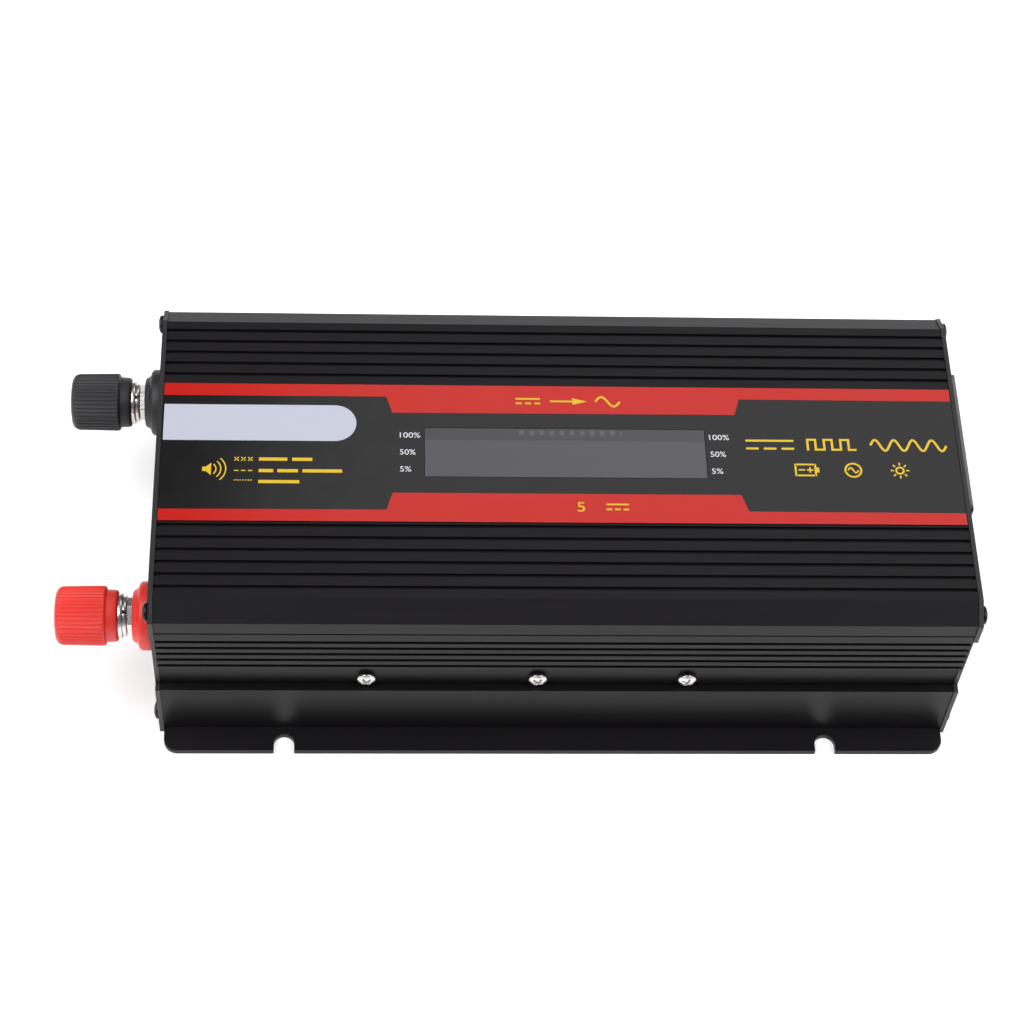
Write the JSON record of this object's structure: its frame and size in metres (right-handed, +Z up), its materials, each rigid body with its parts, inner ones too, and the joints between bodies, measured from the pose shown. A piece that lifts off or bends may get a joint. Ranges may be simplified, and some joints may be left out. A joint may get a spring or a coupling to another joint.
{
  "type": "power inverter",
  "caption": "Finned black case with screw-down binding posts and a fan at one end, and an AC socket, rocker switch and USB ports at the other.",
  "frame": {"origin": "centre of the flat underside of the case, midway between the ends of the extrusions", "axes": "+X along the case from the binding posts to the AC socket, +Y from the front flange to the back flange, +Z up"},
  "size_m": [0.2297, 0.107, 0.0569],
  "materials": {
    "black_anodised": "satin black anodised extrusion",
    "black_sheet": "satin black painted sheet",
    "black_screw": "black zinc plated steel",
    "bright_steel": "bright zinc plated steel",
    "fan_plastic": "matt black moulded plastic",
    "red_plastic": "glossy red moulded plastic",
    "black_plastic": "satin black moulded plastic",
    "fibre_washer": "pale insulating board",
    "copper": "bare copper",
    "printed_panel": "satin printed film, black with red bands and yellow marks",
    "white_sticker": "blank satin white film",
    "window_grey": "smoked clear window",
    "display_glass": "unlit liquid crystal display",
    "circuit_board": "green solder mask",
    "nylon": "natural nylon",
    "grey_ribbon": "grey flat cable",
    "brass": "bare brass",
    "white_plastic": "white contact carrier",
    "green_lens": "clear green lamp",
    "red_lens": "clear red lamp",
    "ferrite": "dark grey sintered ferrite",
    "taped_winding": "copper winding under yellow tape",
    "capacitor_sleeve": "shrink sleeve",
    "fuse_plastic": "clear orange fuse body",
    "moulded_parts": "black moulding compound",
    "silicone_pad": "grey silicone pad",
    "wire_rubber": "brown insulated wire"
  },
  "bodies": {
    "case": {"top_cover": "black_anodised", "base_tray": "black_anodised", "dc_end_plate": "black_sheet", "ac_end_plate": "black_sheet", "end_plate_screws": "black_screw", "clamp_screws": "bright_steel", "fan_frame": "fan_plastic", "fan_screws": "black_screw", "fan_nuts": "bright_steel", "positive_post_base": "red_plastic", "negative_post_base": "black_plastic", "positive_stud": "bright_steel", "negative_stud": "bright_steel", "post_seat_nuts": "bright_steel", "post_insulators": "fibre_washer", "post_inner_nuts": "bright_steel", "positive_busbar": "copper", "negative_busbar": "copper", "panel_overlay": "printed_panel", "rating_sticker": "white_sticker", "display_window": "window_grey", "display_module": "display_glass", "display_board": "circuit_board", "display_spacers": "nylon", "display_ribbon": "grey_ribbon", "ac_socket_face": "black_plastic", "ac_socket_back": "black_plastic", "ac_socket_sleeves": "brass", "ac_socket_earth_strap": "bright_steel", "switch_body": "black_plastic", "switch_tabs": "brass", "usb_shell": "bright_steel", "usb_tongues": "white_plastic", "usb_board": "circuit_board", "usb_board_spacers": "brass", "power_led": "green_lens", "fault_led": "red_lens", "main_board": "circuit_board", "board_spacers": "brass", "board_screws": "bright_steel", "transformer_bobbins": "nylon", "transformer_cores": "ferrite", "transformer_windings": "taped_winding", "input_capacitors": "capacitor_sleeve", "bus_capacitor": "capacitor_sleeve", "output_choke": "copper", "blade_fuses": "fuse_plastic", "power_transistors": "moulded_parts", "insulating_pads": "silicone_pad", "clamp_bars": "bright_steel", "control_parts": "moulded_parts", "ac_wires": "wire_rubber"},
    "fan_blades": {"fan_rotor": "fan_plastic"},
    "rocker": {"switch_rocker": "black_plastic"},
    "positive_washers": {"positive_plain_washer": "bright_steel", "positive_spring_washer": "bright_steel"},
    "positive_grip": {"positive_knob": "red_plastic"},
    "negative_washers": {"negative_plain_washer": "bright_steel", "negative_spring_washer": "bright_steel"},
    "negative_grip": {"negative_knob": "black_plastic"}
  },
  "joints": [
    {"name": "fan_spin", "type": "hinge", "parent": "case", "child": "fan_blades", "pos_m": [-0.095, 0, 0.03125], "axis": [1, 0, 0], "continuous": true},
    {"name": "rocker_tilt", "type": "hinge", "parent": "case", "child": "rocker", "pos_m": [0.0985, -0.0275, 0.0415], "axis": [0, 0, -1], "range_deg": [0, 20]},
    {"name": "positive_washer_slide", "type": "slide", "parent": "case", "child": "positive_washers", "axis": [-1, 0, 0], "range_m": [0, 0.005]},
    {"name": "positive_knob_turn", "type": "hinge", "parent": "positive_washers", "child": "positive_grip", "pos_m": [-0.115, -0.0325, 0.033], "axis": [-1, 0, 0], "range_deg": [0, 2250]},
    {"name": "negative_washer_slide", "type": "slide", "parent": "case", "child": "negative_washers", "axis": [-1, 0, 0], "range_m": [0, 0.005]},
    {"name": "negative_knob_turn", "type": "hinge", "parent": "negative_washers", "child": "negative_grip", "pos_m": [-0.115, 0.0325, 0.033], "axis": [-1, 0, 0], "range_deg": [0, 2250]}
  ],
  "couplings": [
    {"joint": "positive_knob_turn", "follows": "positive_washer_slide", "rad_per_m": 7854},
    {"joint": "negative_knob_turn", "follows": "negative_washer_slide", "rad_per_m": 7854}
  ]
}
